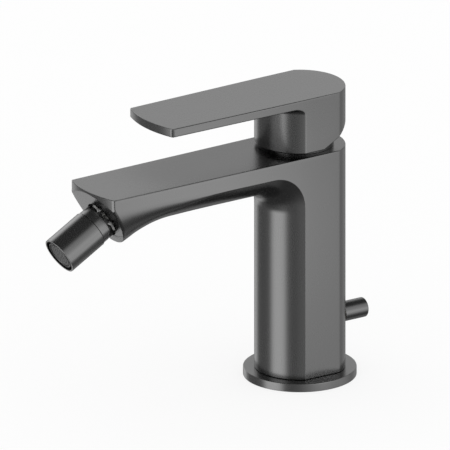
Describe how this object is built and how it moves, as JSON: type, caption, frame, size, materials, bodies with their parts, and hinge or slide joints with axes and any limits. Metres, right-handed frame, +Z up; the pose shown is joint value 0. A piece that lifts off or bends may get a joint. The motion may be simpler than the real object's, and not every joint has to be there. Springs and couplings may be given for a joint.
{
  "type": "bidet mixer",
  "caption": "Single-lever bidet mixer: round column with side flats, flat spout and lever, swivelling aerator, rear pull knob.",
  "frame": {"origin": "centre of the deck flange's underside, on the column's axis and on the deck", "axes": "+Z up along the column, -Y to the spout's tip and the user, +X to the user's right (the cold side)"},
  "size_m": [0.052, 0.1721, 0.14],
  "materials": {
    "gunmetal_brass": "brushed gunmetal coating on cast brass",
    "gunmetal_lever": "brushed gunmetal coating on cast brass",
    "gunmetal_trim": "brushed gunmetal coating on turned brass",
    "bare_brass": "machined",
    "stainless": "machined stainless steel",
    "rubber": "matt black rubber",
    "black_plastic": "moulded black plastic",
    "white_plastic": "moulded white plastic",
    "ceramic": "polished alumina"
  },
  "bodies": {
    "body": {"base_flange": "gunmetal_trim", "base_gasket": "rubber", "body_casting": "gunmetal_brass", "cartridge_base": "black_plastic", "port_seals": "rubber", "disc_seals": "rubber", "fixed_disc": "ceramic", "cartridge_housing": "black_plastic", "cartridge_nut": "bare_brass", "neck_cover": "gunmetal_trim", "ball_stud": "stainless", "ball_stud_seal": "rubber", "guide_bush": "bare_brass", "shaft_seals": "rubber", "crank_bracket": "stainless", "bracket_screws": "stainless", "crank_pin": "stainless"},
    "rotor": {"cartridge_rotor": "white_plastic", "pivot_pin": "stainless"},
    "disc_slide": {"moving_disc": "ceramic", "disc_carrier": "white_plastic"},
    "lever": {"cartridge_stem": "bare_brass", "lever_handle": "gunmetal_lever", "grub_screw": "stainless", "grub_plug": "gunmetal_trim"},
    "joint_seal": {"ball_seal": "rubber"},
    "nozzle": {"joint_collar": "gunmetal_trim", "retaining_ring": "gunmetal_trim", "aerator_sleeve": "gunmetal_trim", "aerator_washer": "rubber", "aerator_insert": "black_plastic", "aerator_screen": "stainless", "outlet_face": "stainless"},
    "pull_knob": {"pull_shaft": "stainless", "pull_knob": "gunmetal_trim", "shaft_link_pin": "stainless"},
    "crank": {"bell_crank": "bare_brass"},
    "lift_rod": {"lift_rod": "stainless", "rod_link_pin": "stainless"}
  },
  "joints": [
    {"name": "lever_swing", "type": "hinge", "parent": "body", "child": "rotor", "pos_m": [0, 0, 0.121], "axis": [0, 0, 1], "range_deg": [-50, 50]},
    {"name": "lever_tilt", "type": "hinge", "parent": "rotor", "child": "lever", "pos_m": [0, 0, 0.121], "axis": [-1, 0, 0], "range_deg": [0, 25]},
    {"name": "disc_travel", "type": "slide", "parent": "rotor", "child": "disc_slide", "axis": [0, -1, 0], "range_m": [0, 0.00455]},
    {"name": "nozzle_pitch", "type": "hinge", "parent": "body", "child": "joint_seal", "pos_m": [0, -0.11453, 0.09362], "axis": [1, 0, 0], "range_deg": [-10, 10]},
    {"name": "nozzle_yaw", "type": "hinge", "parent": "joint_seal", "child": "nozzle", "pos_m": [0, -0.11453, 0.09362], "axis": [0, -0.4879, 0.8729], "range_deg": [-10, 10]},
    {"name": "knob_pull", "type": "slide", "parent": "body", "child": "pull_knob", "axis": [0, 1, 0], "range_m": [0, 0.008]},
    {"name": "crank_turn", "type": "hinge", "parent": "body", "child": "crank", "pos_m": [0, 0.0075, 0.014], "axis": [-1, 0, 0], "range_deg": [0, 39.31]},
    {"name": "rod_lift", "type": "slide", "parent": "body", "child": "lift_rod", "axis": [0, 0, 1], "range_m": [0, 0.00451]}
  ],
  "couplings": [
    {"joint": "disc_travel", "follows": "lever_tilt", "m_per_rad": 0.010416},
    {"joint": "crank_turn", "follows": "knob_pull", "rad_per_m": 85.747},
    {"joint": "rod_lift", "follows": "knob_pull", "ratio": 0.56331}
  ]
}
